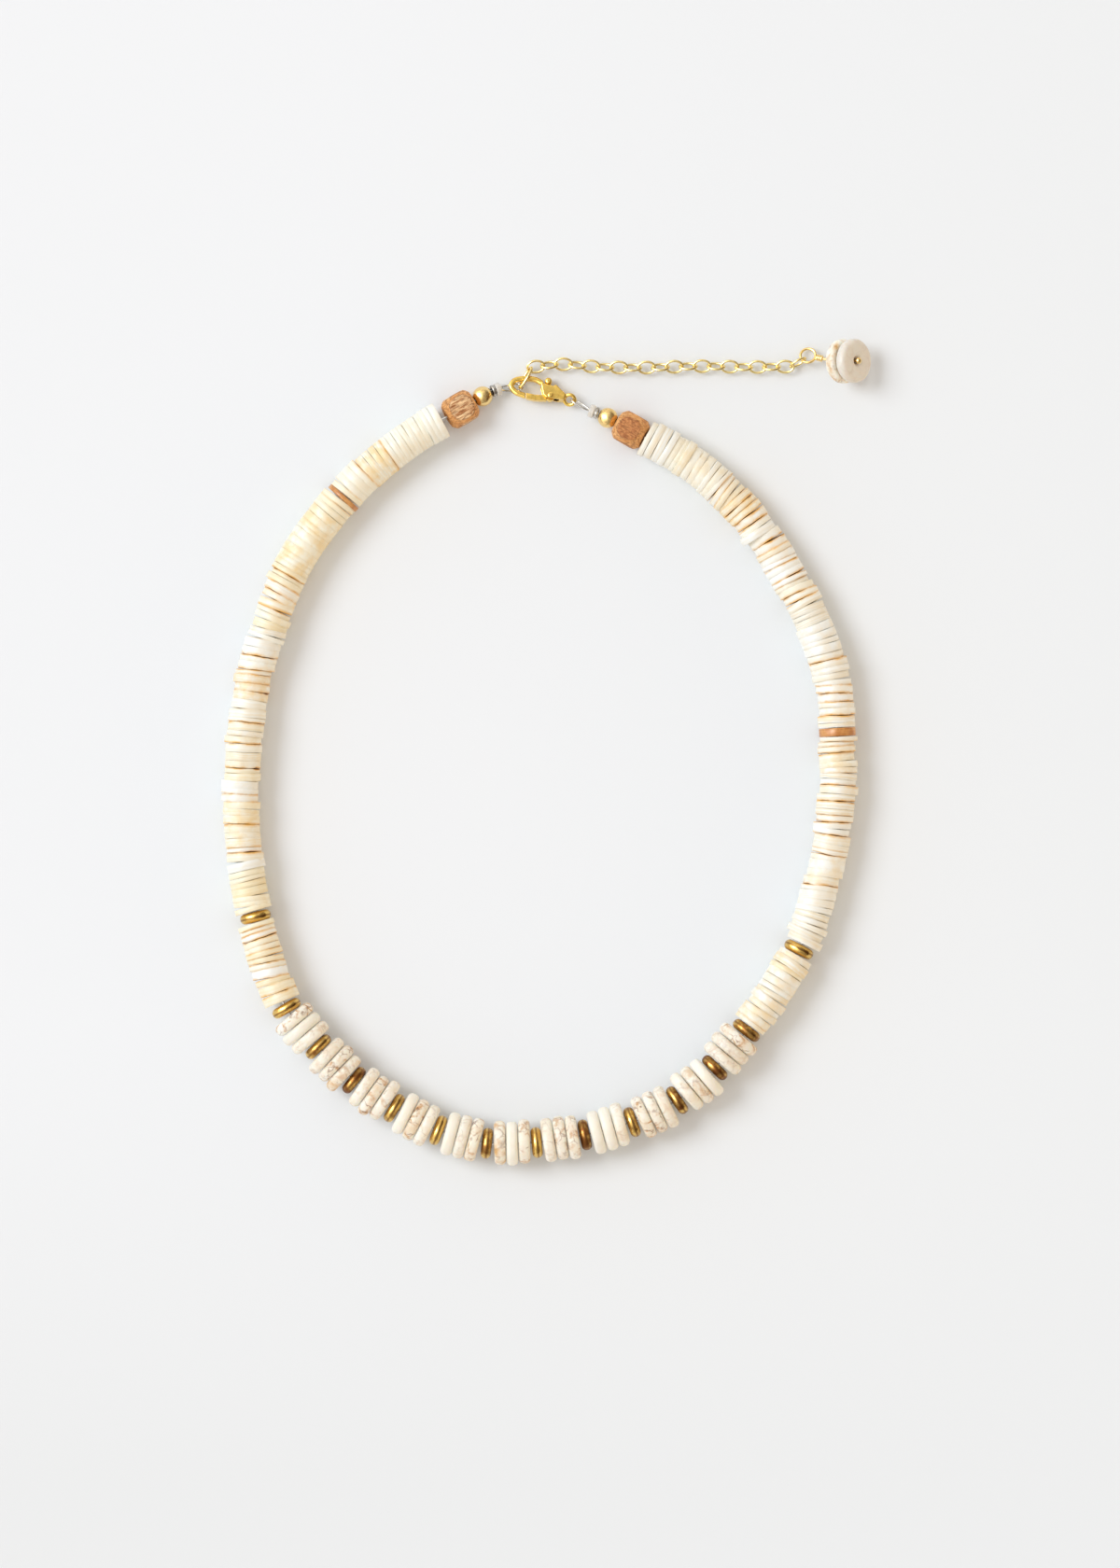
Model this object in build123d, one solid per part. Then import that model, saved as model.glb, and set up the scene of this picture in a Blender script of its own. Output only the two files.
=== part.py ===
from build123d import *
import math
import os
import random

# Shell and brass bead necklace, fastened and laid flat on a table.
# Millimetres, +Z up from the table, +Y towards the clasp, +X to the right seen from above.
# The beads hang on one wire: shell discs on both sides, stone discs and brass rondelles in front.

# Beads
shell_diameter = 6.7
shell_diameter_loss = 0.5
shell_thickness = 1.14
shell_thickness_spread = 0.38
shell_hole = 1.2
shell_gap = 0.11
shell_lean = 5.0
shell_slit = 0.3
shell_slit_chance = 0.2
shell_end_taper = 3
stone_diameter = 8.0
stone_thickness = 2.06
stone_edge_radius = 0.45
stone_hole = 1.2
stone_gap = 0.11
stones_between_rondelles = 3
front_stone_groups = 11
rondelle_diameter = 5.6
rondelle_thickness = 1.85
rondelle_edge_radius = 0.75
rondelle_hole = 1.2
brown_diameter = 6.7
brown_thickness = 1.05
wood_side = 5.6
wood_corner_radius = 3.45
wood_edge_radius = 0.2
wood_hole = 1.3
ball_diameter = 3.6
ball_hole = 1.6
bead_gap = 0.11

# Places of the marker beads along the string
front_shift = -1.3
front_shell_run = 15.4
brown_from_wood_left = 26.4
brown_from_wood_right = 68.6
bare_wire = 0.9

# Wire and crimps
wire_diameter = 0.36
crimp_diameter = 2.1
crimp_length = 0.6
crimp_hole = 1.15
crimp_edge_radius = 0.15
clear_bead_diameter = 2.4
clear_bead_length = 1.0
clear_bead_edge_radius = 0.3
strand_spacing = 0.48
loop_shoulder = 1.0
loop_clearance = 0.17
eye_loop_width = 1.7

# Lobster clasp, in its own frame: x towards the tail eye, y towards the thumb knob, z through it
clasp_thickness = 2.4
clasp_slot = 1.4
clasp_corner_radius = 0.25
clasp_edge_radius = 0.2
hook_width = 0.95
hook_thickness = 1.05
hook_edge_radius = 0.35
lever_thickness = 1.1
lever_width = 1.0
lever_reach = 4.35
lever_tip_gap = 0.12
hub_radius = 0.9
stem_width = 0.8
pin_radius = 0.35
pin_clearance = 0.08
knob_diameter = 1.25
knob_height = 1.9
knob_edge_radius = 0.4
rivet_head_height = 0.1
eye_ring_radius = 0.95
eye_wire_radius = 0.32
eye_tilt = 35.0
clasp_turn = -15.0
clasp_roll = -14.0
clasp_place = (-0.42, 64.58, 1.62)

# Extender chain
chain_wire = 0.45
link_length = 3.5
link_width = 2.6
link_slack = 0.13
link_rolls = (18.0, -58.0)
end_link_wire = 0.5
end_link_length = 4.75
end_link_width = 3.0
end_link_roll = 104.3
last_link_roll = 71.4

# End drop: two stone discs on a head pin with a wrapped loop
drop_tilt = 44.0
drop_disc_gap = 0.5
drop_pin_diameter = 0.5
drop_pin_elbow = 0.5
drop_head_diameter = 1.2
drop_head_gap = 0.1
drop_hole = 0.9
wrap_wire = 0.42
wrap_turns = 3
wrap_pitch = 0.38
wrap_start = 0.45
solder_overlap = 0.05
loop_ring_radius = 1.35
loop_ring_tilt = 156.7

# The way of the string, seen from above, chosen by eye from the photograph, from the left
# end round the front to the right end. The third word names the bead that sets its height.
string_route = [
    (-8.6, 65.3, "left crimp"),
    (-11.5, 64.3, "ball"),
    (-15.1, 61.6, "wood"),
    (-20.8, 58.8, "shell"),
    (-26.2, 55.2, "shell"),
    (-31.2, 51.2, "shell"),
    (-36.3, 46.1, "shell"),
    (-41.2, 40.2, "shell"),
    (-45.2, 34.2, "shell"),
    (-47.9, 28.4, "shell"),
    (-50.2, 22.2, "shell"),
    (-52.1, 15.9, "shell"),
    (-53.8, 7.9, "shell"),
    (-54.6, 1.2, "shell"),
    (-54.9, -5.4, "shell"),
    (-54.7, -12.0, "shell"),
    (-53.8, -22.0, "shell"),
    (-52.1, -30.2, "shell"),
    (-49.6, -38.6, "rise"),
    (-46.9, -45.8, "stone"),
    (-41.1, -52.4, "stone"),
    (-34.9, -58.3, "stone"),
    (-27.5, -63.4, "stone"),
    (-20.0, -67.3, "stone"),
    (-11.4, -69.8, "stone"),
    (-2.8, -69.6, "stone"),
    (5.6, -68.3, "stone"),
    (13.9, -66.3, "stone"),
    (22.4, -62.6, "stone"),
    (29.6, -56.4, "stone"),
    (35.3, -49.6, "stone"),
    (40.3, -42.4, "rise"),
    (44.8, -35.0, "shell"),
    (47.4, -29.0, "shell"),
    (49.5, -20.1, "shell"),
    (51.3, -11.4, "shell"),
    (51.9, -3.2, "shell"),
    (51.6, 4.4, "shell"),
    (51.0, 11.8, "shell"),
    (48.8, 19.6, "shell"),
    (44.3, 29.4, "shell"),
    (39.4, 37.4, "shell"),
    (34.2, 43.8, "shell"),
    (28.0, 49.9, "shell"),
    (22.2, 53.7, "shell"),
    (17.9, 56.0, "shell"),
    (14.3, 58.1, "wood"),
    (10.5, 60.2, "ball"),
    (7.3, 61.4, "right crimp"),
]
left_crimp_height = 1.15
right_crimp_height = 1.9
ball_height = 2.15
wood_lift = 0.2
rise_height = 3.9
axis_height = {
    "left crimp": left_crimp_height,
    "right crimp": right_crimp_height,
    "ball": ball_height,
    "wood": wood_side / 2 + wood_lift,
    "shell": shell_diameter / 2,
    "rise": rise_height,
    "stone": stone_diameter / 2,
}

# The way of the chain, from its second link to its last but one, and where the ends of
# the first and last link lie
chain_route = [
    (-2.25, 69.2, 1.35),
    (2.3, 69.75, 1.3),
    (9.0, 69.1, 1.3),
    (18.0, 69.0, 1.3),
    (27.0, 69.35, 1.3),
    (35.3, 69.1, 1.3),
    (42.35, 69.2, 1.35),
]
end_link_tip = (-5.3, 65.18, 1.545)
end_link_heel = (-2.88, 69.27, 1.545)
last_link_tail = (43.13, 69.07, 1.1)
last_link_head = (46.11, 70.79, 1.75)

# The left wire loop, from its crimp under the clasp's hook, round the end link and back
left_loop_route = [
    (-8.59, 65.08, 1.06),
    (-7.57, 64.88, 0.56),
    (-5.88, 64.89, 0.28),
    (-5.14, 64.93, 0.93),
    (-4.66, 65.28, 1.07),
    (-4.69, 65.78, 1.28),
    (-5.21, 66.07, 1.41),
    (-5.95, 66.03, 0.75),
    (-7.63, 65.84, 0.97),
    (-8.61, 65.52, 1.24),
]

# The middle of the drop's inner disc and the middle of its loop ring, seen from above
drop_place = (52.6, 70.05)
loop_ring_place = (46.42, 71.19, 1.3)

# Outlines of the clasp, in its own frame
hook_line = [
    (-1.1, 1.42),
    (-2.4, 1.83),
    (-4.2, 1.55),
    (-6.0, 0.75),
    (-6.5, -0.55),
    (-5.3, -1.5),
    (-3.2, -1.66),
]
clasp_outline = [
    (-1.45, 2.15),
    (-0.75, 1.22),
    (0.95, 1.22),
    (1.35, 1.65),
    (2.75, 0.8),
    (3.55, 0.35),
    (3.55, -0.7),
    (2.9, -0.8),
    (0.25, -1.2),
    (-0.35, -0.85),
    (-1.25, 0.85),
]
slot_outline = [
    (-3.0, -3.0),
    (-3.0, 0.6),
    (-0.9, 0.72),
    (-0.45, 0.8),
    (-0.45, 3.0),
    (1.5, 3.0),
    (1.5, 0.8),
    (2.2, 0.35),
    (2.55, -0.1),
    (2.55, -3.0),
]
lever_line = [(-3.9, -1.66), (-1.6, -1.55), (0.35, -1.1)]
pin_place = (0.9, -0.55)
knob_place = (-0.1, 2.0)
eye_place = (4.4, -0.2)

draw = random.Random(7)
nodes = {}


def radii_of(points, reach_share=0.45):
    """Fillet radius of each inner point: as large as its two runs allow."""
    radii = []
    for before, here, after in zip(points, points[1:], points[2:]):
        first = Vector(*here) - Vector(*before)
        second = Vector(*after) - Vector(*here)
        half_turn = math.radians(first.get_angle(second) / 2)
        radii.append(reach_share * min(first.length, second.length) / math.tan(half_turn))
    return radii


def rounded_line(points):
    """Straight runs joined by tangent arcs."""
    return FilletPolyline(*points, radius=radii_of(points))


def tube(path, radius):
    """A round wire along a path."""
    start = Plane(origin=path @ 0, z_dir=path % 0)
    return sweep(start * Circle(radius), path=path)


def at(line, distance):
    """Point of a line at a distance along it."""
    return line.position_at(distance, position_mode=PositionMode.LENGTH)


def bead_frame(line, distance, length, yaw=0.0, pitch=0.0):
    """Frame of a bead of some length on the string: its Z is the bead's axis."""
    low = at(line, distance - length / 2)
    high = at(line, distance + length / 2)
    axis = (high - low).normalized()
    side = Vector(0, 0, 1).cross(axis).normalized()
    frame = Plane(origin=(low + high) * 0.5, x_dir=side, z_dir=axis)
    return frame.location * Rot(pitch, 0, 0) * Rot(0, yaw, 0)


def axis_of(location):
    return Plane(location).z_dir


def gap_between(first, second, clearance, rim):
    """Gap on the string that keeps two beads a clearance apart at their rims."""
    return clearance + rim * math.radians(axis_of(first).get_angle(axis_of(second)))


def round_bead(diameter, length, hole, edge_radius=0.0):
    """A drilled disc or rondelle round Z, middle at the origin."""
    bead = Cylinder(diameter / 2, length)
    if edge_radius:
        bead = fillet(bead.edges().filter_by(GeomType.CIRCLE), min(edge_radius, length * 0.48))
    return bead - Cylinder(hole / 2, length * 2)


def group(shapes):
    """Loose solids kept in one node."""
    return Compound([solid for shape in shapes for solid in shape.solids()])


def shell_run(line, before, after):
    """A run of shell discs of uneven thickness between two beads of the string.

    Each of the two is given by its place along the string and its length.
    """
    start = before[0] + before[1] / 2
    end = after[0] - after[1] / 2
    count = round((end - start) / (shell_thickness + shell_gap))
    wave = draw.uniform(0, math.tau)
    yaws, pitches, weights, losses = [], [], [], []
    clearances = [bead_gap]
    lean = 0.0
    for index in range(count):
        taper = min(1.0, index / shell_end_taper, (count - 1 - index) / shell_end_taper)
        lean = 0.8 * lean + 0.45 * draw.uniform(-1, 1)
        yaws.append(taper * shell_lean * (lean + 0.5 * math.sin(wave + index / 4)))
        pitches.append(taper * shell_lean * 0.4 * math.sin(1.7 * wave + index / 3))
        weights.append(1 + shell_thickness_spread * draw.uniform(-1, 1))
        losses.append(shell_diameter_loss * draw.random())
        slit = shell_slit * draw.random() if draw.random() < shell_slit_chance else 0.0
        clearances.append(shell_gap + slit)
    clearances[-1] = bead_gap
    middles = [start + (index + 0.5) * (end - start) / count for index in range(count)]
    for _ in range(3):
        frames = [
            bead_frame(line, middle, shell_thickness, yaw, pitch)
            for middle, yaw, pitch in zip(middles, yaws, pitches)
        ]
        row = [bead_frame(line, *before), *frames, bead_frame(line, *after)]
        gaps = [
            gap_between(first, second, clearance, shell_diameter / 2)
            for first, second, clearance in zip(row, row[1:], clearances)
        ]
        share = (end - start - sum(gaps)) / sum(weights)
        thicknesses = [share * weight for weight in weights]
        place = start
        for index, thickness in enumerate(thicknesses):
            place += gaps[index]
            middles[index] = place + thickness / 2
            place += thickness
    return [
        frame * Pos(0, -loss / 2, 0) * round_bead(shell_diameter - loss, thickness, shell_hole)
        for frame, thickness, loss in zip(frames, thicknesses, losses)
    ]


def front_beads(line, middle):
    """Brass rondelles with groups of stone discs between them, centred on the string."""
    group_length = stones_between_rondelles * (stone_thickness + stone_gap) - stone_gap
    lengths = [rondelle_thickness]
    for _ in range(front_stone_groups):
        lengths += [group_length, rondelle_thickness]
    gaps = [bead_gap] * (len(lengths) - 1)
    for _ in range(3):
        total = sum(lengths) + sum(gaps)
        place = middle - total / 2
        middles = []
        for index, length in enumerate(lengths):
            middles.append(place + length / 2)
            place += length + (gaps[index] if index < len(gaps) else 0.0)
        frames = [bead_frame(line, spot, length) for spot, length in zip(middles, lengths)]
        gaps = [
            gap_between(first, second, bead_gap, rondelle_diameter / 2 - rondelle_edge_radius)
            for first, second in zip(frames, frames[1:])
        ]
    return middles, frames, total


def wood_bead():
    """A cube of wood, its corners and edges turned round, drilled along Z."""
    bead = Box(wood_side, wood_side, wood_side) & Sphere(wood_corner_radius)
    bead = fillet(bead.edges(), wood_edge_radius)
    return bead - Cylinder(wood_hole / 2, wood_side * 2)


def brass_ball():
    return Sphere(ball_diameter / 2) - Cylinder(ball_hole / 2, ball_diameter * 2)


def clasp_body():
    """Cast hook, slotted body, rivet and tail eye, in the clasp's own frame."""
    path = rounded_line([(x, y, 0) for x, y in hook_line])
    start = Plane(origin=path @ 0, x_dir=(0, 0, 1), z_dir=path % 0)
    section = RectangleRounded(hook_thickness, hook_width, hook_edge_radius)
    hook = sweep(start * section, path=path)
    outline = make_face(Polyline(*clasp_outline, close=True))
    outline = fillet(outline.vertices(), clasp_corner_radius)
    plates = extrude(outline, clasp_thickness / 2, both=True)
    plates = fillet(plates.edges().filter_by(Plane.XY), clasp_edge_radius)
    slot = extrude(make_face(Polyline(*slot_outline, close=True)), clasp_slot / 2, both=True)
    tip_sweep = Pos(*pin_place, 0) * Cylinder(lever_reach + lever_tip_gap, clasp_thickness)
    tip_side = Pos(-lever_reach, -3.0, 0) * Box(2 * lever_reach, 4.4, clasp_thickness)
    eye = Pos(*eye_place, 0) * Rot(eye_tilt, 0, 0) * Torus(eye_ring_radius, eye_wire_radius)
    eye_hole = Pos(*eye_place, 0) * Rot(eye_tilt, 0, 0) * Cylinder(
        eye_ring_radius - eye_wire_radius, clasp_thickness * 2
    )
    rivet = Pos(*pin_place, 0) * Cylinder(pin_radius, clasp_thickness + 2 * rivet_head_height)
    return (plates - slot - eye_hole) + (hook - (tip_sweep & tip_side)) + eye + rivet


def clasp_lever():
    """Lever with its hub round the rivet, and the thumb knob, in the clasp's own frame."""
    bar_path = Polyline(*[(x, y, 0) for x, y in lever_line])
    bar = extrude(trace(bar_path, lever_width), lever_thickness / 2, both=True)
    hub = Pos(*pin_place, 0) * Cylinder(hub_radius, lever_thickness)
    stem_path = Line((*pin_place, 0), (*knob_place, 0))
    stem = extrude(trace(stem_path, stem_width), lever_thickness / 2, both=True)
    knob = Cylinder(knob_diameter / 2, knob_height)
    knob = Pos(*knob_place, 0) * fillet(knob.edges().filter_by(GeomType.CIRCLE), knob_edge_radius)
    reach = Pos(*pin_place, 0) * Cylinder(lever_reach, clasp_thickness * 2)
    hole = Pos(*pin_place, 0) * Cylinder(pin_radius + pin_clearance, clasp_thickness * 2)
    return ((bar + hub + stem + knob) & reach) - hole


def oval_link(length, width, wire):
    """A closed chain link in the XY plane, long along X."""
    path = SlotOverall(length - wire, width - wire).wire()
    return tube(path, wire / 2)


def link_frame(tail, head, roll):
    """Frame of a link whose length runs from one point to another."""
    along = (Vector(*head) - Vector(*tail)).normalized()
    across = Vector(0, 0, 1).cross(along).normalized()
    frame = Plane(origin=(Vector(*tail) + Vector(*head)) * 0.5, x_dir=along, z_dir=along.cross(across))
    return frame.location * Rot(roll, 0, 0)


def chain():
    """The extender chain: its end link, then links that alternate flat and leaning."""
    links = [
        link_frame(end_link_tip, end_link_heel, end_link_roll)
        * oval_link(end_link_length, end_link_width, end_link_wire)
    ]
    line = rounded_line(chain_route)
    pitch = link_length - 2 * chain_wire - link_slack
    steps = round(line.length / pitch)
    link = oval_link(link_length, link_width, chain_wire)
    for step in range(steps + 1):
        spot = min(max(step * line.length / steps, 0.01), line.length - 0.01)
        middle = at(line, spot)
        along = line.tangent_at(spot, position_mode=PositionMode.LENGTH)
        roll = link_rolls[step % 2]
        links.append(link_frame(middle - along, middle + along, roll) * link)
    links.append(link_frame(last_link_tail, last_link_head, last_link_roll) * link)
    return group(links)


def drop_frame():
    """Frame of the drop's inner disc: Z runs up along the pin to its head."""
    tilt = math.radians(drop_tilt)
    rim = stone_diameter / 2 - stone_edge_radius
    rest = stone_thickness / 2 - stone_edge_radius
    height = rim * math.cos(tilt) + rest * math.sin(tilt) + stone_edge_radius
    axis = (math.cos(tilt), 0, math.sin(tilt))
    return Plane(origin=(*drop_place, height), x_dir=(0, 1, 0), z_dir=axis)


def drop_pin(frame):
    """Head pin: head, shaft, a bend behind the discs, wrapped turns and the loop ring."""
    face = 1.5 * stone_thickness + drop_disc_gap
    head_middle = frame.origin + frame.z_dir * (face + drop_head_gap)
    elbow = frame.origin - frame.z_dir * (stone_thickness / 2 + drop_pin_elbow)
    ring_middle = Vector(*loop_ring_place)
    towards = (elbow - ring_middle).normalized()
    ring_side = ring_middle + towards * loop_ring_radius
    path = rounded_line([ring_side, elbow, head_middle + frame.z_dir * drop_pin_diameter / 2])
    pin = tube(path, drop_pin_diameter / 2)
    dome = Pos(*head_middle) * Sphere(drop_head_diameter / 2)
    pin += split(dome, bisect_by=Plane(origin=head_middle, z_dir=frame.z_dir), keep=Keep.TOP)
    wrap = Torus((drop_pin_diameter + wrap_wire) / 2 - solder_overlap, wrap_wire / 2)
    for turn in range(wrap_turns):
        spot = ring_side + towards * (wrap_start + wrap_pitch * turn)
        pin += Plane(origin=spot, z_dir=towards).location * wrap
    tilt = math.radians(loop_ring_tilt)
    lean = Vector(0, math.cos(tilt), math.sin(tilt))
    ring_plane = Plane(origin=ring_middle, z_dir=towards.cross(lean))
    return pin + ring_plane.location * Torus(loop_ring_radius, drop_pin_diameter / 2)


def loop_points(base, bar, bar_radius, width):
    """Points of a wire loop from its crimp out round a bar and back again.

    The bar is given by a frame at its middle, its Y along the bar.
    """
    target = Plane(bar).origin
    along = (target - base).normalized()
    spread = Plane(bar).y_dir.cross(along).normalized()
    length = (target - base).length + bar_radius + wire_diameter / 2 + loop_clearance
    side = [
        (0.0, strand_spacing / 2),
        (loop_shoulder, width * 0.42),
        (length - width * 0.4, width / 2),
        (length, width * 0.22),
    ]
    out = [base + along * reach + spread * half for reach, half in side]
    back = [base + along * reach - spread * half for reach, half in reversed(side)]
    return out + back


# The string's middle line, and the places of everything on it
route = [Vector(x, y, axis_height[word]) for x, y, word in string_route]
line = rounded_line(route)
string_length = line.length
crimp_stack = clear_bead_length + crimp_length + 2 * bead_gap
ball_spot = crimp_stack + ball_diameter / 2
wood_spot = ball_spot + ball_diameter / 2 + bead_gap + wood_side / 2

ends = {
    "left": lambda distance: distance,
    "right": lambda distance: string_length - distance,
}
clear_spot = clear_bead_length / 2
crimp_spot = clear_bead_length + bead_gap + crimp_length / 2
clear_bead = round_bead(clear_bead_diameter, clear_bead_length, crimp_hole, clear_bead_edge_radius)
crimp = round_bead(crimp_diameter, crimp_length, crimp_hole, crimp_edge_radius)
for side, spot in ends.items():
    nodes["clear_bead_" + side] = bead_frame(line, spot(clear_spot), clear_bead_length) * clear_bead
    nodes["crimp_" + side] = bead_frame(line, spot(crimp_spot), crimp_length) * crimp
    nodes["brass_ball_" + side] = bead_frame(line, spot(ball_spot), ball_diameter) * brass_ball()
    nodes["wood_bead_" + side] = bead_frame(line, spot(wood_spot), wood_side) * wood_bead()

# Front: rondelles and stone discs
front_middle = string_length / 2 + front_shift
middles, frames, front_length = front_beads(line, front_middle)
rondelle = round_bead(rondelle_diameter, rondelle_thickness, rondelle_hole, rondelle_edge_radius)
stone = round_bead(stone_diameter, stone_thickness, stone_hole, stone_edge_radius)
stone_pitch = stone_thickness + stone_gap
for index, frame in enumerate(frames):
    number = index // 2 + 1
    if index % 2 == 0:
        nodes[f"brass_rondelle_{number:02d}"] = frame * rondelle
    else:
        first = -(stones_between_rondelles - 1) / 2
        nodes[f"stone_discs_{number:02d}"] = group(
            frame * Pos(0, 0, (first + place) * stone_pitch) * stone
            for place in range(stones_between_rondelles)
        )

# Sides: shell runs with a brown disc and an outer rondelle on each side
brown = round_bead(brown_diameter, brown_thickness, shell_hole)
brown_from_wood = {"left": brown_from_wood_left, "right": brown_from_wood_right}
front_end = {
    "left": front_middle - front_length / 2,
    "right": string_length - front_middle - front_length / 2,
}
front_bead = {"left": middles[0], "right": middles[-1]}
for side, spot in ends.items():
    brown_spot = wood_spot + brown_from_wood[side]
    outer_spot = front_end[side] - front_shell_run - rondelle_thickness / 2
    nodes["brown_disc_" + side] = bead_frame(line, spot(brown_spot), brown_thickness) * brown
    nodes["brass_rondelle_outer_" + side] = (
        bead_frame(line, spot(outer_spot), rondelle_thickness) * rondelle
    )
    stations = [
        (spot(wood_spot), wood_side + 2 * (bare_wire - bead_gap)),
        (spot(brown_spot), brown_thickness),
        (spot(outer_spot), rondelle_thickness),
        (front_bead[side], rondelle_thickness),
    ]
    for word, pair in zip(("back", "side", "front"), zip(stations, stations[1:])):
        nodes[f"shell_discs_{side}_{word}"] = group(shell_run(line, *sorted(pair)))

# Clasp
clasp_location = Pos(*clasp_place) * Rot(0, 0, clasp_turn) * Rot(clasp_roll, 0, 0)
nodes["clasp_body"] = clasp_location * clasp_body()
nodes["clasp_lever"] = clasp_location * clasp_lever()

# Chain and drop
nodes["extender_chain"] = chain()
inner = drop_frame()
drop_disc = round_bead(stone_diameter, stone_thickness, drop_hole, stone_edge_radius)
nodes["drop_disc_inner"] = inner.location * drop_disc
nodes["drop_disc_outer"] = inner.location * Pos(0, 0, stone_thickness + drop_disc_gap) * drop_disc
nodes["drop_pin"] = drop_pin(inner)

# Wire: one strand through every bead, with a loop back through the crimp at both ends
eye_bar = clasp_location * Pos(*eye_place, 0) * Rot(eye_tilt, 0, 0) * Pos(eye_ring_radius, 0, 0)
left_loop = [Vector(*point) for point in left_loop_route]
right_loop = loop_points(route[-1], eye_bar, eye_wire_radius, eye_loop_width)
left_tail = route[1] + (left_loop[0] - route[0]) * 2
right_tail = route[-2] + (right_loop[-1] - route[-1]) * 2
wire_points = [left_tail, *left_loop, *route[1:-1], *right_loop, right_tail]
nodes["beading_wire"] = tube(rounded_line(wire_points), wire_diameter / 2)

# The table is z = 0 and the middle of the whole is x = y = 0
box = group(nodes.values()).bounding_box()
shift = Pos(-(box.min.X + box.max.X) / 2, -(box.min.Y + box.max.Y) / 2, -box.min.Z)
os.makedirs("parts", exist_ok=True)
loose = 0
for name, shape in nodes.items():
    placed = shift * shape
    loose += len(placed.solids())
    export_step(placed, f"parts/{name}.step")

pin_frame = Plane(shift * clasp_location * Pos(*pin_place, 0))
print("box", box.size, "shift", shift.position)
print("string", round(string_length, 1), "solids", loose, "nodes", len(nodes))
print("lever pin", [round(value, 3) for value in pin_frame.origin], "axis", pin_frame.z_dir * -1)
print("smallest route radius", round(min(radii_of(route)), 1))
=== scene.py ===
import math
import random

import bmesh
import bpy
import numpy as np
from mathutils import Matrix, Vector


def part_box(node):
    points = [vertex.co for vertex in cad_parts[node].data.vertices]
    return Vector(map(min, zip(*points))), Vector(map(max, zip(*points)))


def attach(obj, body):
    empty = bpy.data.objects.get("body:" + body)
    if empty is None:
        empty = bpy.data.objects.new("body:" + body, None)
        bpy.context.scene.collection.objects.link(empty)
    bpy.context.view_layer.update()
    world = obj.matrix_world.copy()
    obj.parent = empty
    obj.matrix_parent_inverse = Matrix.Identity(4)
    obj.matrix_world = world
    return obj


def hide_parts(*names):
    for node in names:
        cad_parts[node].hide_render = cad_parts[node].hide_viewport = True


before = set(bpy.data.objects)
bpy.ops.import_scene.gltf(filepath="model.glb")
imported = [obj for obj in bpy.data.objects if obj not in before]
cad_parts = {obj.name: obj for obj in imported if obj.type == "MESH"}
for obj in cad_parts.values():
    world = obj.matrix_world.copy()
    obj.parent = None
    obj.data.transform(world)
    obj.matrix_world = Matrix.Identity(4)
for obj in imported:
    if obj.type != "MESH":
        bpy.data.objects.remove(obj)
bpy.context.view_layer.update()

# Shell and brass bead necklace, lying fastened on a pale table and seen straight from above.
# The scene is in metres. Sizes are given in millimetres and turned into metres by MM.
MM = 0.001

# Camera: height of the photograph's frame, and the point at its middle
frame_height = 280.0
frame_middle = (2.29, -5.61, 3.35)
lens_length = 200.0
sensor_long_side = 36.0

# Light: a wide soft light from the left and pale surroundings, cool on the near side, which is
# the left, and warm on the far side. Both sides glow more strongly low down.
key_elevation = 46.0
key_azimuth = 160.0
key_width = 30.0
key_strength = 1.57
key_colour = (0.985, 1.0, 1.03)
surroundings = 0.65
near_colour = (0.93, 0.965, 1.02)
far_colour = (1.24, 1.045, 0.87)
near_low_colour = (1.9, 2.2, 2.7)
far_low_colour = (2.8, 2.15, 1.3)
glow_top = 0.45

# What polished metal mirrors: the window's colour, and how strongly the room around it glows,
# from its darker to its brighter panels
mirrored_window = (2.6, 2.55, 2.45, 1.0)
mirrored_glow = (0.74, 1.42)

# Table: its side, and where painted shade darkens it towards the right and the bottom of the frame
table_side = 2400.0
shade_right = (-40.0, 110.0)
shade_bottom = (-130.0, -50.0)

# Sizes of discs and rondelles are millimetres, apart from these two counts
bead_counts = {"Edge steps", "Sides"}

# Shell discs
shell = {
    "Diameter": 6.7,
    "Thickness": 1.14,
    "Hole": 1.2,
    "Edge radius": 0.045,
    "Edge steps": 1,
    "Sides": 30,
    "Ragged": 0.12,
    "Nick": 0.35,
    "Noise size": 1.6,
}

# The widest gap between shell discs that stand open, and between the others
open_gap = 0.2
loose_gap = 0.05

# How far each face of an amber disc moves out, or in where it is negative, and the most that a
# shell disc gains in diameter
amber_spare = {"left": -0.11, "right": 0.2}
shell_spare = 0.4

# How far the last shell discs spread towards the right wood bead, and how many of them do
wood_reach = 1.0
wood_reach_discs = 4

# How far a shell disc lies to the side and leans at most, and how many of the discs start a new
# place and a new lean
shell_sway = 0.34
shell_lean = 0.08
new_place_share = 0.55
new_lean_share = 0.5

# Warmth of the cream, from white at 0 to yellow at 1, and how much it changes from disc to disc
# at most. It stays higher up to left_back_end, and a few discs anywhere are whiter than the rest.
warmest = {"left": 0.85, "right": 0.6}
coldest = 0.1
coldest_left_back = 0.55
left_back_end = 42.0
warmth_step = 0.4
white_disc_share = 0.14

# What makes the look of each shell disc, shared by discs that look like one
shell_tints = ("seed", "honey", "warmth", "layered")

# Stone discs
stone = {
    "Diameter": 8.0,
    "Thickness": 2.06,
    "Hole": 1.2,
    "Edge radius": 0.85,
    "Edge steps": 6,
    "Sides": 48,
    "Ragged": 0.12,
    "Nick": 0.22,
    "Noise size": 2.2,
}

# How far a stone disc lies to the side at most
stone_sway = 0.32

# Brass rondelles
rondelle = {
    "Diameter": 5.6,
    "Thickness": 1.85,
    "Hole": 1.2,
    "Edge radius": 0.88,
    "Edge steps": 7,
    "Sides": 56,
    "Ragged": 0.04,
    "Nick": 0.0,
    "Noise size": 1.8,
}

# Chain links
chain_wire = 0.45
end_link_wire = 0.5

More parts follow.
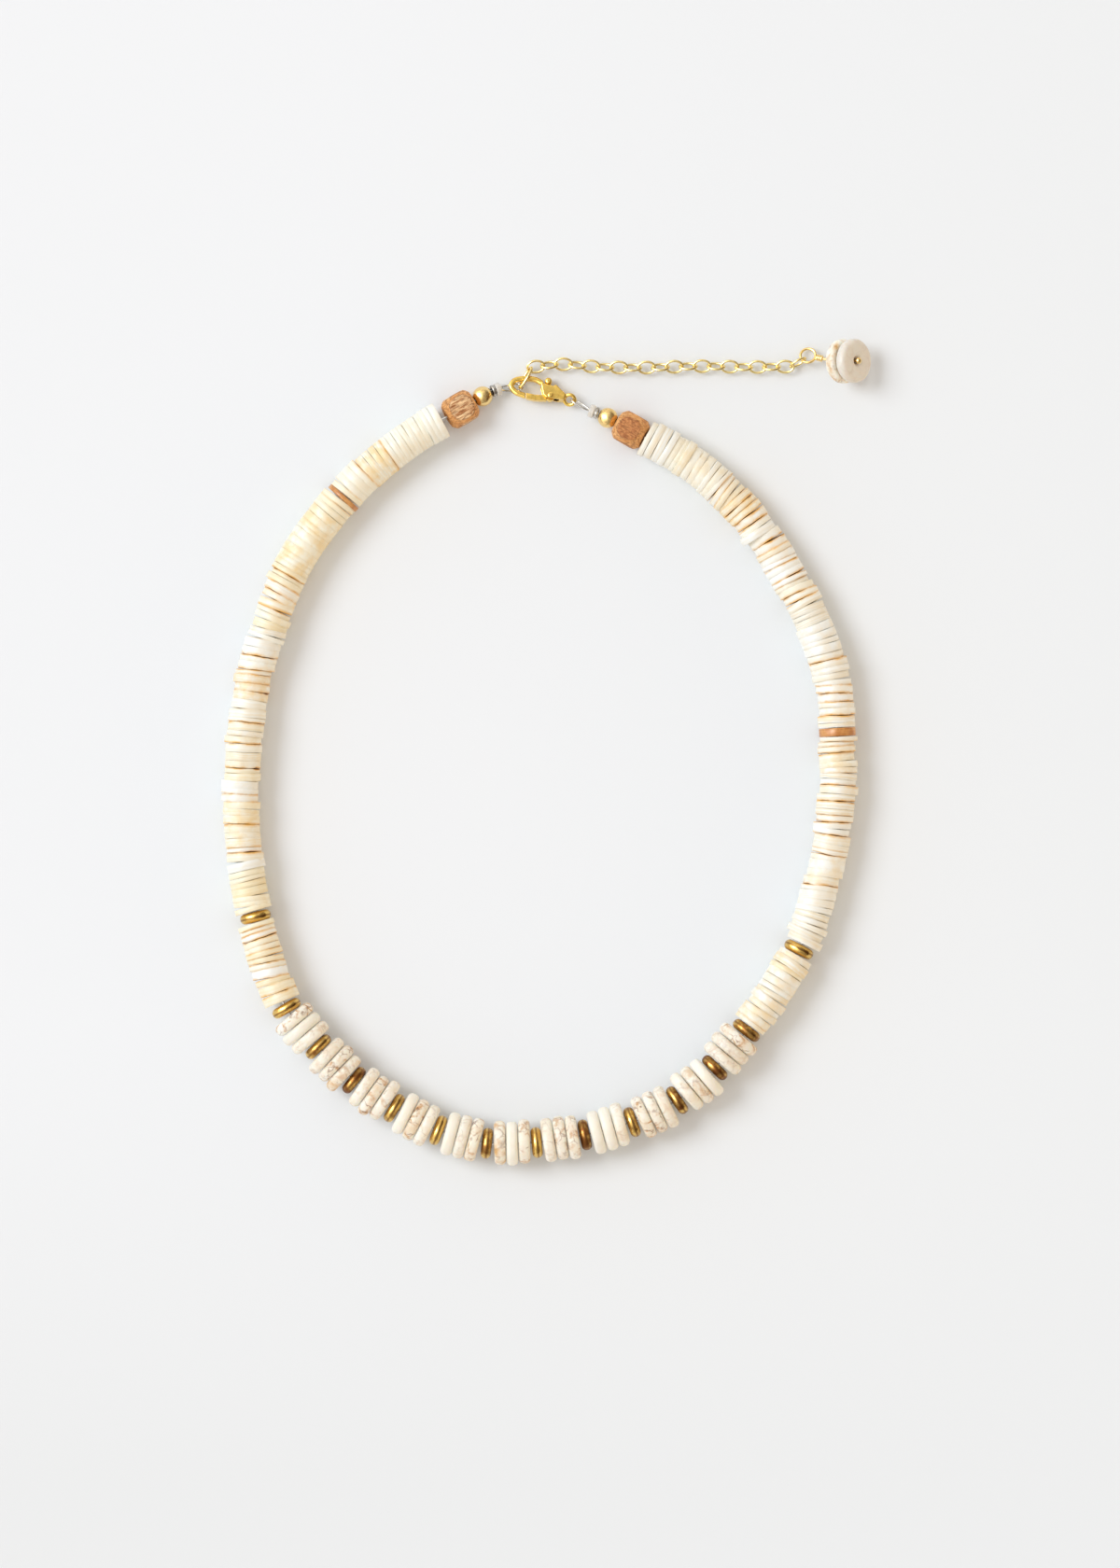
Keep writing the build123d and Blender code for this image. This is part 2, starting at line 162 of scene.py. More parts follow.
# Gaps between two shell discs that stand open: how far along the string from the wood bead
# of that side, with how wide each is against the widest
open_gaps = {
    "left": {
        43.5: 0.6, 50.5: 0.5, 59.3: 0.7, 61.2: 0.5, 65.0: 0.9, 71.2: 0.6, 74.2: 0.5,
        79.3: 0.9, 83.9: 0.8, 89.2: 0.4, 94.3: 0.7, 110.2: 0.8, 114.9: 0.6, 117.6: 0.5, 120.8: 0.9,
    },
    "right": {
        23.2: 0.6, 26.0: 0.8, 28.4: 0.5, 31.2: 0.8, 36.4: 0.5, 38.8: 1.0, 42.4: 0.5, 43.9: 0.6,
        55.2: 0.4, 61.2: 0.8, 63.9: 0.5, 65.9: 0.5, 73.0: 0.7, 78.0: 0.6, 81.9: 0.6, 84.4: 0.8,
        88.0: 0.6, 90.9: 0.8, 96.0: 0.6,
    },
}

# How many discs lie so close to the one before that no line shows: usually, and in stretches
# with a start, an end and a share
usual_closed = 0.15
closed = {
    "left": [(0.0, 30.0, 0.72), (30.0, 42.0, 0.6), (66.0, 70.0, 0.5), (84.0, 89.0, 0.4)],
    "right": [(0.0, 16.0, 0.55), (46.0, 54.0, 0.4), (84.0, 100.0, 0.35)],
}

# How many of the lines between closed discs show well, as stain and painted shade, given in the same
# way
usual_lined = 0.15
lined = {
    "left": [(0.0, 30.0, 0.6), (43.0, 66.0, 0.45), (106.0, 122.0, 0.7)],
    "right": [(18.0, 46.0, 0.6), (58.0, 84.0, 0.45)],
}

# Stretches of honey-coloured discs: start, end and how strong, along the string as above
honey = {
    "left": [
        (5.0, 7.0, 0.9), (15.0, 16.5, 0.7), (17.8, 19.8, 0.8), (28.8, 38.5, 0.65),
        (46.5, 48.5, 0.5), (63.0, 65.0, 0.6), (72.5, 74.5, 0.4), (86.0, 91.0, 0.5),
    ],
    "right": [
        (24.0, 27.0, 0.5), (31.0, 32.5, 0.5), (36.5, 39.5, 0.9), (53.0, 58.0, 0.3),
        (72.0, 76.0, 0.5), (92.0, 97.0, 0.4), (110.0, 124.6, 0.5),
    ],
}

# How strongly a stone disc is marked: veins and tan patches
stone_looks = {
    "plain": (0.0, 0.0),
    "faint": (0.35, 0.3),
    "webbed": (1.0, 0.45),
    "patched": (0.6, 1.0),
    "spotted": (0.75, 0.25),
}

# The three stone discs of each group, from the left
stone_rows = [
    "webbed plain faint",
    "faint webbed patched",
    "faint webbed spotted",
    "plain webbed faint",
    "plain faint webbed",
    "patched plain spotted",
    "faint spotted spotted",
    "plain plain faint",
    "webbed webbed faint",
    "faint patched plain",
    "faint faint webbed",
]

# How brown each brass rondelle has gone, from the left
front_tarnish = [0.15, 0.5, 0.72, 0.4, 0.1, 0.5, 0.05, 0.74, 0.5, 0.6, 0.62, 0.5]
outer_tarnish = {"left": 0.15, "right": 0.3}

# How far a flat face of a wood bead reaches from its middle, against its height, and how wide
# the brown line round that face is on the same scale
face_reach = {"left": 0.8, "right": 0.7}
face_edge = 0.07

draw = random.Random(11)
necklace = "necklace"


# Reading the places of beads and links from the frame

def merged_copy(node):
    """A bmesh of a node with its split edges joined again."""
    copy = bmesh.new()
    copy.from_mesh(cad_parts[node].data)
    bmesh.ops.remove_doubles(copy, verts=copy.verts, dist=0.001 * MM)
    return copy


def loose_solids(node):
    """The corners of each loose solid of a node."""
    copy = merged_copy(node)
    waiting = set(copy.verts)
    solids = []
    while waiting:
        search = [waiting.pop()]
        found = []
        while search:
            corner = search.pop()
            found.append(corner.co.copy())
            for edge in corner.link_edges:
                other = edge.other_vert(corner)
                if other in waiting:
                    waiting.remove(other)
                    search.append(other)
        solids.append(np.array(found))
    copy.free()
    return solids


def main_directions(corners):
    """Middle of a solid, its three main directions from the longest, and its size along them."""
    spread = corners - corners.mean(0)
    _, directions = np.linalg.eigh(spread.T @ spread)
    directions = directions.T[::-1]
    reach = corners @ directions.T
    low, high = reach.min(0), reach.max(0)
    middle = (low + high) / 2 @ directions
    return Vector(middle), [Vector(d) for d in directions], high - low


def discs_of(node, start):
    """The discs of a node in their order along the string, from the one nearest to start."""
    discs = []
    for corners in loose_solids(node):
        middle, directions, reach = main_directions(corners)
        discs.append({
            "node": node,
            "middle": middle,
            "axis": directions[2],
            "diameter": (reach[0] + reach[1]) / 2,
            "length": reach[2],
        })
    row = []
    here = start
    while discs:
        nearest = min(discs, key=lambda disc: (disc["middle"] - here).length)
        discs.remove(nearest)
        row.append(nearest)
        here = nearest["middle"]
    return row


def middle_of(node):
    low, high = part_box(node)
    return (low + high) / 2


def beads_along_string():
    """Every disc and rondelle from the left wood bead to the right one, with its distance from each."""
    nodes = ["shell_discs_left_back", "brown_disc_left", "shell_discs_left_side"]
    nodes += ["brass_rondelle_outer_left", "shell_discs_left_front"]
    for number in range(1, len(stone_rows) + 1):
        nodes += [f"brass_rondelle_{number:02d}", f"stone_discs_{number:02d}"]
    nodes += [f"brass_rondelle_{len(stone_rows) + 1:02d}", "shell_discs_right_front"]
    nodes += ["brass_rondelle_outer_right", "shell_discs_right_side", "brown_disc_right"]
    nodes += ["shell_discs_right_back"]
    row = []
    here = middle_of("wood_bead_left")
    reached = 0.0
    for node in nodes:
        for bead in discs_of(node, here):
            step = bead["middle"] - here
            if step.dot(bead["axis"]) < 0:
                bead["axis"] = -bead["axis"]
            reached += step.length
            bead["left"] = reached / MM
            here = bead["middle"]
            row.append(bead)
    whole = reached + (middle_of("wood_bead_right") - here).length
    for bead in row:
        bead["right"] = whole / MM - bead["left"]
    return row


def nearer_side(disc):
    return "left" if disc["left"] < disc["right"] else "right"


def new_object(name, data):
    """An object of the scene."""
    obj = bpy.data.objects.new(name, data)
    bpy.context.scene.collection.objects.link(obj)
    return obj


def apply_modifiers(obj):
    """Puts what an object's modifiers make in the place of its mesh, and gives that mesh."""
    before = obj.data
    depsgraph = bpy.context.evaluated_depsgraph_get()
    made = bpy.data.meshes.new_from_object(
        obj.evaluated_get(depsgraph), preserve_all_data_layers=True, depsgraph=depsgraph
    )
    obj.modifiers.clear()
    obj.data = made
    bpy.data.meshes.remove(before)
    made.name = obj.name
    return made


# Node helpers

def add(tree, kind, inputs=None, **settings):
    """A new node. Inputs are given by name or number, as values or as sockets to link."""
    made = tree.nodes.new(kind)
    for name, value in settings.items():
        setattr(made, name, value)
    for key, value in (inputs or {}).items():
        if isinstance(value, bpy.types.NodeSocket):
            tree.links.new(value, made.inputs[key])
        else:
            made.inputs[key].default_value = value
    return made


def calc(tree, operation, *values):
    """The result of a Math node."""
    return add(tree, "ShaderNodeMath", dict(enumerate(values)), operation=operation).outputs[0]


def times(tree, first, second):
    return calc(tree, "MULTIPLY", first, second)


def plus(tree, first, second):
    return calc(tree, "ADD", first, second)


def vector_calc(tree, operation, *values):
    """The result of a Vector Math node. SCALE takes its factor as the second value."""
    keys = [0, "Scale"] if operation == "SCALE" else range(len(values))
    made = add(tree, "ShaderNodeVectorMath", dict(zip(keys, values)), operation=operation)
    return made.outputs["Value" if operation in ("DOT_PRODUCT", "LENGTH") else "Vector"]


def ramp(tree, value, low, high, to_low=0.0, to_high=1.0):
    """Value taken from one range to another, held at the ends."""
    ends = {1: low, 2: high, 3: to_low, 4: to_high}
    return add(tree, "ShaderNodeMapRange", {0: value, **ends}).outputs[0]


def blend(tree, factor, first, second):
    """Two colours blended."""
    made = add(tree, "ShaderNodeMix", {0: factor, 6: first, 7: second}, data_type="RGBA")
    return made.outputs[2]


def noise(tree, vector, scale, detail=2.0, seed=0.0, roughness=0.5):
    made = add(
        tree,
        "ShaderNodeTexNoise",
        {"Vector": vector, "W": seed, "Scale": scale, "Detail": detail, "Roughness": roughness},
        noise_dimensions="4D",
    )
    return made.outputs[0]


def paint(red, green, blue):
    """A colour given as it looks on screen, 0 to 255."""
    parts = [part / 255 for part in (red, green, blue)]
    linear = [p / 12.92 if p <= 0.04045 else ((p + 0.055) / 1.055) ** 2.4 for p in parts]
    return (*linear, 1.0)


# Geometry Nodes

def geometry_tree(name, sockets):
    """A tree with a geometry input and output, and named inputs for its sizes."""
    tree = bpy.data.node_groups.new(name, "GeometryNodeTree")
    face = tree.interface
    face.new_socket("Geometry", in_out="OUTPUT", socket_type="NodeSocketGeometry")
    face.new_socket("Geometry", in_out="INPUT", socket_type="NodeSocketGeometry")
    for label, kind in sockets.items():
        face.new_socket(label, in_out="INPUT", socket_type="NodeSocket" + kind)
    return tree, tree.nodes.new("NodeGroupInput").outputs


def geo(tree, kind, inputs=None, **settings):
    """The first output of a new geometry node."""
    return add(tree, "GeometryNode" + kind, inputs, **settings).outputs[0]


def named(tree, name, kind="FLOAT"):
    """A named attribute read inside a geometry tree."""
    return geo(tree, "InputNamedAttribute", {0: name}, data_type=kind)


def store(tree, geometry, name, value, kind="FLOAT"):
    inputs = {"Geometry": geometry, "Name": name, "Value": value}
    return geo(tree, "StoreNamedAttribute", inputs, data_type=kind)


def finish_tree(tree, geometry, material):
    """Shades the mesh smooth, sets its material and closes the tree."""
    smooth = geo(tree, "SetShadeSmooth", {"Geometry": geometry})
    painted = geo(tree, "SetMaterial", {"Geometry": smooth, "Material": material})
    add(tree, "NodeGroupOutput", {0: painted})
    return tree


def bead_tree():
    """Drilled discs on points, each turned to its axis, scaled to its size and made uneven.

    A point has an axis, a scale, a seed, how chipped it is, and how far its edge stands open
    to the bead before it and to the bead after it.
    """
    sockets = {label: "Int" if label in bead_counts else "Float" for label in shell}
    tree, given = geometry_tree("drilled_beads", {**sockets, "Material": "Material"})
    outer = times(tree, given["Diameter"], 0.5)
    inner = times(tree, given["Hole"], 0.5)
    wall = calc(tree, "SUBTRACT", outer, inner)
    middle_radius = plus(tree, inner, times(tree, wall, 0.5))
    sizes = {"Resolution": given["Sides"], "Radius": middle_radius}
    path = geo(tree, "CurvePrimitiveCircle", sizes)
    path = geo(tree, "SetCurveNormal", {"Curve": path}, mode="Z_UP")
    sizes = {"Width": wall, "Height": given["Thickness"]}
    section = geo(tree, "CurvePrimitiveQuadrilateral", sizes)
    rounding = {"Count": given["Edge steps"], "Radius": given["Edge radius"]}
    rounding.update({"Curve": section, "Limit Radius": True})
    section = geo(tree, "FilletCurve", rounding, mode="POLY")
    bead = geo(tree, "CurveToMesh", {"Curve": path, "Profile Curve": section})
    place = geo(tree, "InputPosition")
    parts = add(tree, "ShaderNodeSeparateXYZ", {0: place}).outputs
    flat = add(tree, "ShaderNodeCombineXYZ", {0: parts[0], 1: parts[1]}).outputs[0]
    rim = calc(tree, "DIVIDE", vector_calc(tree, "LENGTH", flat), outer)
    side = calc(tree, "DIVIDE", parts[2], given["Thickness"])
    bead = store(tree, bead, "rim", rim)
    bead = store(tree, bead, "side", side)
    points = store(tree, given["Geometry"], "centre", place, "FLOAT_VECTOR")
    axis = named(tree, "axis", "FLOAT_VECTOR")
    turn = add(tree, "FunctionNodeAlignRotationToVector", {"Vector": axis}, axis="Z")
    spots = {
        "Points": points,
        "Instance": bead,
        "Rotation": turn.outputs[0],
        "Scale": named(tree, "size", "FLOAT_VECTOR"),
    }
    beads = geo(tree, "RealizeInstances", {0: geo(tree, "InstanceOnPoints", spots)})
    # Each rim is uneven all the way round, with a few bites out of the chipped beads
    seed = times(tree, named(tree, "seed"), 90.0)
    rim = named(tree, "rim")
    near = vector_calc(tree, "SUBTRACT", place, named(tree, "centre", "FLOAT_VECTOR"))
    along = vector_calc(tree, "DOT_PRODUCT", near, axis)
    outward = vector_calc(tree, "SUBTRACT", near, vector_calc(tree, "SCALE", axis, along))
    outward = vector_calc(tree, "NORMALIZE", outward)
    scale = calc(tree, "DIVIDE", 1.0, given["Noise size"])
    lobes = ramp(tree, noise(tree, outward, 1.6, 3.0, seed), 0.3, 0.7)
    bite = noise(tree, near, scale, 1.0, plus(tree, seed, 7.0))
    bite = times(tree, ramp(tree, bite, 0.6, 0.72), named(tree, "chipped"))
    inward = times(tree, lobes, given["Ragged"])
    inward = plus(tree, inward, times(tree, bite, given["Nick"]))
    inward = times(tree, inward, ramp(tree, rim, 0.6, 1.0))
    moved = vector_calc(tree, "SCALE", outward, times(tree, inward, -1.0))
    # Where a bead stands open to its neighbour, part of its edge is worn back along the string
    side = named(tree, "side")
    above = times(tree, ramp(tree, side, 0.3, 0.45), named(tree, "open_high"))
    below = times(tree, ramp(tree, side, -0.45, -0.3, 1.0, 0.0), named(tree, "open_low"))
    wear = ramp(tree, noise(tree, outward, 1.1, 2.0, plus(tree, seed, 31.0)), 0.42, 0.6)
    wear = times(tree, wear, ramp(tree, rim, 0.6, 0.9))
    worn = times(tree, calc(tree, "SUBTRACT", below, above), wear)
    moved = vector_calc(tree, "ADD", moved, vector_calc(tree, "SCALE", axis, worn))
    beads = geo(tree, "SetPosition", {"Geometry": beads, "Offset": moved})
    return finish_tree(tree, beads, given["Material"])


def link_tree():
    """Closed wire links on points, each turned by the directions of its length and width."""
    sizes = {"Length": "Float", "Width": "Float", "Wire": "Float"}
    counts = {"Sides": "Int", "Bend steps": "Int"}
    tree, given = geometry_tree("chain_links", {**sizes, **counts, "Material": "Material"})
    long_reach = calc(tree, "SUBTRACT", given["Length"], given["Wire"])
    short_reach = calc(tree, "SUBTRACT", given["Width"], given["Wire"])
    ring = geo(tree, "CurvePrimitiveCircle", {"Resolution": given["Bend steps"], "Radius": 0.5})
    oval = add(tree, "ShaderNodeCombineXYZ", {0: long_reach, 1: short_reach, 2: 1.0})
    path = geo(tree, "Transform", {"Geometry": ring, "Scale": oval.outputs[0]})
    sizes = {"Resolution": given["Sides"], "Radius": times(tree, given["Wire"], 0.5)}
    wire = geo(tree, "CurvePrimitiveCircle", sizes)
    link = geo(tree, "CurveToMesh", {"Curve": path, "Profile Curve": wire})
    ways = [named(tree, name, "FLOAT_VECTOR") for name in ("length_way", "width_way")]
    turn = add(
        tree,
        "FunctionNodeAxesToRotation",
        dict(enumerate(ways)),
        primary_axis="X",
        secondary_axis="Y",
    )
    spots = {"Points": given["Geometry"], "Instance": link, "Rotation": turn.outputs[0]}
    links = geo(tree, "RealizeInstances", {0: geo(tree, "InstanceOnPoints", spots)})
    return finish_tree(tree, links, given["Material"])


def grow(name, tree, places, attributes, values):
    """A mesh object made by a tree from points with attributes, with the modifier removed."""
    points = bpy.data.meshes.new(name)
    points.from_pydata([tuple(place) for place in places], [], [])
    for label, column in attributes.items():
        vector = hasattr(column[0], "__len__")
        layer = points.attributes.new(label, "FLOAT_VECTOR" if vector else "FLOAT", "POINT")
        flat = np.array([tuple(v) if vector else v for v in column], np.float32).ravel()
        layer.data.foreach_set("vector" if vector else "value", flat)
    obj = new_object(name, points)
    modifier = obj.modifiers.new("grow", "NODES")
    modifier.node_group = tree
    for socket in tree.interface.items_tree:
        if socket.in_out == "INPUT" and socket.name in values:
            modifier[socket.identifier] = values[socket.name]
    apply_modifiers(obj)
    return obj


# Shader groups

def shader_group(name, inputs, outputs):
    """A shader group for effects that several finishes use. Its inputs are given with the values
    they start from, a tuple for a colour, and its outputs are numbers, apart from Color.
    """
    tree = bpy.data.node_groups.new(name, "ShaderNodeTree")
    for label, start in inputs.items():
        kind = "NodeSocketColor" if isinstance(start, tuple) else "NodeSocketFloat"
        tree.interface.new_socket(label, in_out="INPUT", socket_type=kind).default_value = start
    for label in outputs:
        kind = "NodeSocketColor" if label == "Color" else "NodeSocketFloat"
        tree.interface.new_socket(label, in_out="OUTPUT", socket_type=kind)
    return tree, tree.nodes.new("NodeGroupInput").outputs


def table_millimetres(tree):
    """A point of the piece in millimetres."""
    place = add(tree, "ShaderNodeTexCoord").outputs["Object"]
    return vector_calc(tree, "SCALE", place, 1 / MM)


def patches_group():
    """A soft-edged mask of irregular patches."""
    inputs = {"Size": 1.0, "Cover": 0.5, "Softness": 0.1, "Seed": 0.0}
    tree, given = shader_group("patches", inputs, ["Mask"])
    scale = calc(tree, "DIVIDE", 1.0, given["Size"])
    cloud = noise(tree, table_millimetres(tree), scale, 4.0, given["Seed"], 0.6)
    level = ramp(tree, given["Cover"], 0.0, 1.0, 0.75, 0.3)
    low = calc(tree, "SUBTRACT", level, given["Softness"])
    high = plus(tree, level, given["Softness"])
    add(tree, "NodeGroupOutput", {0: ramp(tree, cloud, low, high)})
    return tree


def layers_group():
    """Fine growth lines across a bead's thickness, which waver a little round it."""
    inputs = {"Depth": 0.0, "Spacing": 0.2, "Seed": 0.0}
    tree, given = shader_group("growth_lines", inputs, ["Lines"])
    place = table_millimetres(tree)
    waver = noise(tree, place, 0.35, 1.0, given["Seed"])
    depth = plus(tree, given["Depth"], times(tree, waver, 0.5))
    row = add(tree, "ShaderNodeCombineXYZ", {0: calc(tree, "DIVIDE", depth, given["Spacing"])})
    lines = noise(tree, row.outputs[0], 1.0, 2.0, given["Seed"], 0.7)
    add(tree, "NodeGroupOutput", {0: ramp(tree, lines, 0.3, 0.72)})
    return tree


def webbing_group():
    """Thin branching veins, broken up into stretches."""
    inputs = {"Size": 1.5, "Width": 0.06, "Seed": 0.0}
    tree, given = shader_group("veins", inputs, ["Mask"])
    place = table_millimetres(tree)
    inputs = {"Vector": place, "W": given["Seed"], "Scale": 0.9, "Detail": 3.0}
    warp = add(tree, "ShaderNodeTexNoise", inputs, noise_dimensions="4D")
    shift = vector_calc(tree, "SCALE", warp.outputs["Color"], 1.6)
    cells = add(
        tree,
        "ShaderNodeTexVoronoi",
        {
            "Vector": vector_calc(tree, "ADD", place, shift),
            "W": given["Seed"],
            "Scale": calc(tree, "DIVIDE", 1.0, given["Size"]),
        },
        voronoi_dimensions="4D",
        feature="DISTANCE_TO_EDGE",
    )
    line = ramp(tree, cells.outputs["Distance"], 0.0, given["Width"], 1.0, 0.0)
    broken = ramp(tree, noise(tree, place, 0.6, 3.0, given["Seed"]), 0.45, 0.6)
    add(tree, "NodeGroupOutput", {0: times(tree, line, broken)})
    return tree


def worn_metal_group():
    """Metal that has gone brown in patches: colour, roughness and small dents."""
    inputs = {
        "Bright": (1.0, 1.0, 1.0, 1.0),
        "Brown": (0.0, 0.0, 0.0, 1.0),
        "Tarnish": 0.3,
        "Least roughness": 0.17,
        "Size": 1.0,
        "Seed": 0.0,
    }
    tree, given = shader_group("worn_metal", inputs, ["Color", "Roughness", "Height"])
    place = table_millimetres(tree)
    scale = calc(tree, "DIVIDE", 1.0, given["Size"])
    cloud = noise(tree, place, scale, 5.0, given["Seed"], 0.6)
    low = ramp(tree, given["Tarnish"], 0.0, 1.0, 0.62, 0.2)
    brown = ramp(tree, cloud, low, plus(tree, low, 0.22))
    brown = times(tree, brown, ramp(tree, given["Tarnish"], 0.0, 0.6, 0.25, 1.0))
    grit = noise(tree, place, times(tree, scale, 7.0), 3.0, given["Seed"])
    rough = plus(tree, times(tree, brown, 0.16), given["Least roughness"])
    rough = plus(tree, rough, times(tree, grit, 0.1))
    height = plus(tree, times(tree, cloud, 0.7), times(tree, grit, 0.3))
    colour = blend(tree, brown, given["Bright"], given["Brown"])
    add(tree, "NodeGroupOutput", {0: colour, 1: rough, 2: height})
    return tree


patches = patches_group()
growth_lines = layers_group()
veins = webbing_group()
worn_metal = worn_metal_group()


def connect(tree, node, **inputs):
    """Links or sets a node's inputs; underscores in an input's name stand for spaces."""
    for label, value in inputs.items():
        socket = node.inputs[label.replace("_", " ")]
        if isinstance(value, bpy.types.NodeSocket):
            tree.links.new(value, socket)
        else:
            socket.default_value = value


def use(tree, group, **inputs):
    """A group placed in a material, with its inputs linked or set."""
    made = add(tree, "ShaderNodeGroup", node_tree=group)
    connect(tree, made, **inputs)
    return made.outputs


# Materials

def new_material(name, **sockets):
    """A material and its Principled shader, with plain values set on the shader."""
    made = bpy.data.materials.new(name)
    made.use_nodes = True
    tree = made.node_tree
    shader = tree.nodes["Principled BSDF"]
    connect(tree, shader, **sockets)
    return made, tree, shader


def attribute(tree, name):
    return add(tree, "ShaderNodeAttribute", attribute_name=name).outputs["Fac"]


def set_bump(tree, shader, height, depth, strength=1.0):
    """Relief on a shader, its depth in millimetres."""
    bump = add(
        tree, "ShaderNodeBump", {"Height": height, "Distance": depth * MM, "Strength": strength}
    )
    connect(tree, shader, Normal=bump.outputs[0])


def shell_material():
    """Cream shell: growth lines, honey tints, and a stain with painted shade and glow where it meets
    its neighbours.
    """
    made, tree, shader = new_material("cream_shell", IOR=1.53, Specular_IOR_Level=0.55)
    shift = times(tree, attribute(tree, "seed"), 40.0)
    side = attribute(tree, "side")
    depth = plus(tree, times(tree, side, shell["Thickness"]), shift)
    lines = use(tree, growth_lines, Depth=depth, Spacing=0.3, Seed=shift)[0]
    warmth = attribute(tree, "warmth")
    cooler = ramp(tree, warmth, 0.0, 0.5)
    cream = blend(tree, cooler, paint(239, 245, 246), paint(243, 246, 238))
    cream = blend(tree, ramp(tree, warmth, 0.5, 1.0), cream, paint(243, 235, 202))
    seed = plus(tree, shift, 2.0)
    cloud = use(tree, patches, Size=1.8, Cover=0.5, Softness=0.2, Seed=seed)[0]
    cream = blend(tree, times(tree, cloud, 0.45), cream, paint(242, 244, 237))
    lines = times(tree, lines, attribute(tree, "layered"))
    cream = blend(tree, lines, cream, paint(226, 202, 150))
    warm = use(tree, patches, Size=2.2, Cover=0.55, Softness=0.12, Seed=shift)[0]
    warm = times(tree, warm, attribute(tree, "honey"))
    cream = blend(tree, warm, cream, paint(236, 203, 132))
    # The stain, with painted glow and painted shade between discs, is strongest on the edge and fades
    # towards the middle of the disc
    low = times(tree, ramp(tree, side, -0.5, -0.1, 1.0, 0.0), attribute(tree, "stain_low"))
    high = times(tree, ramp(tree, side, 0.1, 0.5), attribute(tree, "stain_high"))
    seam_stain_and_shade = calc(tree, "MAXIMUM", low, high)
    seed = plus(tree, shift, 5.0)
    place = use(tree, patches, Size=2.4, Cover=0.55, Softness=0.14, Seed=seed)[0]
    # Amber tan on the seams: partly stain, partly painted glow of light through the shell
    tan = times(tree, seam_stain_and_shade, ramp(tree, place, 0.0, 1.0, 0.3, 1.0))
    cream = blend(tree, ramp(tree, tan, 0.15, 0.8), cream, paint(232, 178, 84))
    # Brown core in the open gaps: painted shade
    brown = times(tree, ramp(tree, seam_stain_and_shade, 0.85, 1.0, 0.0, 0.6), place)
    cream = blend(tree, brown, cream, paint(150, 92, 40))
    rough = ramp(tree, lines, 0.0, 1.0, 0.42, 0.6)
    connect(tree, shader, Base_Color=cream, Roughness=rough)
    set_bump(tree, shader, lines, 0.05, 0.5)
    return made


def stone_material():
    """Cream-white stone with tan and brown veins, patches and small pits."""
    made, tree, shader = new_material(
        "veined_stone",
        IOR=1.5,
        Subsurface_Weight=0.25,
        Subsurface_Scale=0.8 * MM,
        Subsurface_Radius=(1.0, 0.7, 0.45),
    )
    seed = times(tree, attribute(tree, "seed"), 60.0)
    veined = attribute(tree, "veined")
    patched = attribute(tree, "patched")
    base = use(tree, patches, Size=3.0, Cover=0.5, Softness=0.3, Seed=seed)[0]
    base = blend(tree, base, paint(244, 242, 231), paint(238, 231, 210))
    soft_seed = plus(tree, seed, 3.0)
    soft = use(tree, patches, Size=2.6, Cover=0.42, Softness=0.1, Seed=soft_seed)[0]
    base = blend(tree, times(tree, soft, patched), base, paint(216, 174, 112))
    web = use(tree, veins, Size=2.8, Width=0.1, Seed=seed)[0]
    base = blend(tree, times(tree, web, veined), base, paint(196, 144, 82))
    dark = use(tree, veins, Size=2.4, Width=0.06, Seed=plus(tree, seed, 9.0))[0]
    dark = times(tree, dark, times(tree, veined, 0.85))
    base = blend(tree, dark, base, paint(128, 80, 40))
    base = blend(tree, attribute(tree, "dull"), base, paint(214, 208, 198))
    pits = use(tree, patches, Size=0.35, Cover=0.2, Softness=0.08, Seed=seed)[0]
    hollow = plus(tree, web, pits)
    rough = ramp(tree, hollow, 0.0, 1.0, 0.45, 0.7)
    connect(tree, shader, Base_Color=base, Roughness=rough)
    height = times(tree, hollow, -1.0)
    set_bump(tree, shader, height, 0.06, 0.5)
    return made


def metal_material(
    name, bright, brown, size, dent, tarnish=None, base_seed=0.0, rough=0.17, swell=0.0
):
    """A metal finish; its tarnish is a number, or else each bead's own, with a painted dark reflection
    along its rim.

    Dent is the depth of its small dents, and swell that of slow waves in a cast face.
    """
    made, tree, shader = new_material(name, Metallic=1.0)
    amount = attribute(tree, "tarnish") if tarnish is None else tarnish
    seed = attribute(tree, "seed") if tarnish is None else base_seed
    worn = use(
        tree, worn_metal, Bright=bright, Brown=brown, Tarnish=amount, Least_roughness=rough,
        Size=size, Seed=seed,
    )
    colour = worn["Color"]
    if tarnish is None:
        rim = attribute(tree, "rim")
        # A painted dark reflection along the crest of the rim, in the brown tarnish colour
        painted_rim_reflection = calc(tree, "ABSOLUTE", plus(tree, attribute(tree, "side"), -0.06))
        painted_rim_reflection = times(tree, ramp(tree, painted_rim_reflection, 0.05, 0.13, 1.0, 0.0), rim)
        painted_rim_reflection = times(tree, painted_rim_reflection, ramp(tree, rim, 0.9, 0.97))
        colour = blend(tree, times(tree, painted_rim_reflection, 0.75), colour, brown)
    connect(tree, shader, Base_Color=colour, Roughness=worn["Roughness"])
    height = worn["Height"]
    if swell:
        waves = noise(tree, table_millimetres(tree), 0.6, 1.0, base_seed)
        height = plus(tree, height, times(tree, waves, swell / dent))
    set_bump(tree, shader, height, dent)
    return made


